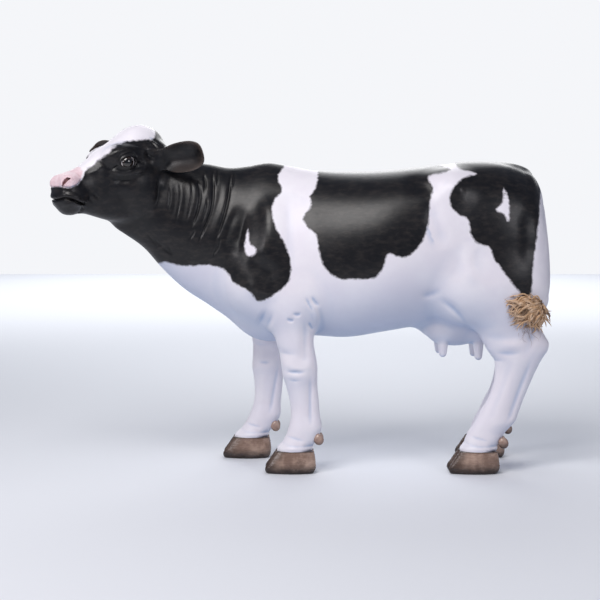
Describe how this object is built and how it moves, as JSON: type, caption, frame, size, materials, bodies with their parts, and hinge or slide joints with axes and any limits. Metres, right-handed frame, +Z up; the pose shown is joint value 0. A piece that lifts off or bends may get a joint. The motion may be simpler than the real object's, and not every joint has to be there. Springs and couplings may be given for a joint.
{
  "type": "cow statue",
  "caption": "Life-size cast resin statue of a young black and white dairy cow, painted, standing with its head turned to one side; a still display model.",
  "frame": {"origin": "on the floor under the middle of the statue's bounding box", "axes": "+Z up; the cow faces -X, with its left side to -Y and its head turned towards -Y; X runs along the body"},
  "size_m": [2.1045, 0.686, 1.4585],
  "materials": {
    "white_paint": "satin white paint over cast resin, slightly lilac in the shade",
    "dark_paint": "satin black paint over cast resin",
    "hoof_paint": "brown brushed paint, darker at the sole",
    "hair_paint": "golden brown dry-brushed paint over modelled locks",
    "eye_gloss": "high gloss dark eye with a white rim"
  },
  "bodies": {
    "root": {"head": "dark_paint", "neck": "dark_paint", "left_ear": "dark_paint", "right_ear": "dark_paint", "left_eye": "eye_gloss", "right_eye": "eye_gloss", "trunk": "white_paint", "udder": "white_paint", "left_front_teat": "white_paint", "left_rear_teat": "white_paint", "right_front_teat": "white_paint", "right_rear_teat": "white_paint", "left_front_leg": "white_paint", "right_front_leg": "white_paint", "left_hind_leg": "white_paint", "right_hind_leg": "white_paint", "tail": "white_paint", "tail_switch": "hair_paint", "left_front_outer_claw": "hoof_paint", "left_front_inner_claw": "hoof_paint", "right_front_outer_claw": "hoof_paint", "right_front_inner_claw": "hoof_paint", "left_hind_outer_claw": "hoof_paint", "left_hind_inner_claw": "hoof_paint", "right_hind_outer_claw": "hoof_paint", "right_hind_inner_claw": "hoof_paint", "left_front_outer_dewclaw": "hoof_paint", "left_front_inner_dewclaw": "hoof_paint", "right_front_outer_dewclaw": "hoof_paint", "right_front_inner_dewclaw": "hoof_paint", "left_hind_outer_dewclaw": "hoof_paint", "left_hind_inner_dewclaw": "hoof_paint", "right_hind_outer_dewclaw": "hoof_paint", "right_hind_inner_dewclaw": "hoof_paint"}
  },
  "joints": []
}
